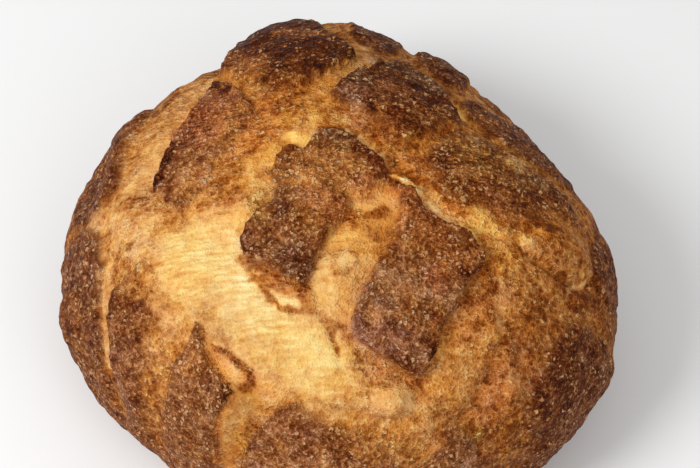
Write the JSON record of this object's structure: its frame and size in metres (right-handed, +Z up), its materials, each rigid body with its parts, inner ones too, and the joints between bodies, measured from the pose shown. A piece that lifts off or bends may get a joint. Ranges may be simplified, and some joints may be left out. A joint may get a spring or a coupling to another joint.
{
  "type": "round crusty hearth loaf of french bread",
  "caption": "Round crusty hearth loaf, scored in a grid: dark lifted panels of crust with torn lips over paler burst crust, on a flat foot.",
  "frame": {"origin": "middle of the loaf's plan, on the plane of its flat foot", "axes": "+Z up through the crown, +X to the right and +Y to the back as the loaf is seen in the picture"},
  "size_m": [0.2408, 0.2408, 0.1208],
  "materials": {
    "crust": "baked bread crust, dry with a faint sheen, from cream burst crust to near-black on the lips"
  },
  "bodies": {
    "root": {"loaf": "crust"}
  },
  "joints": []
}
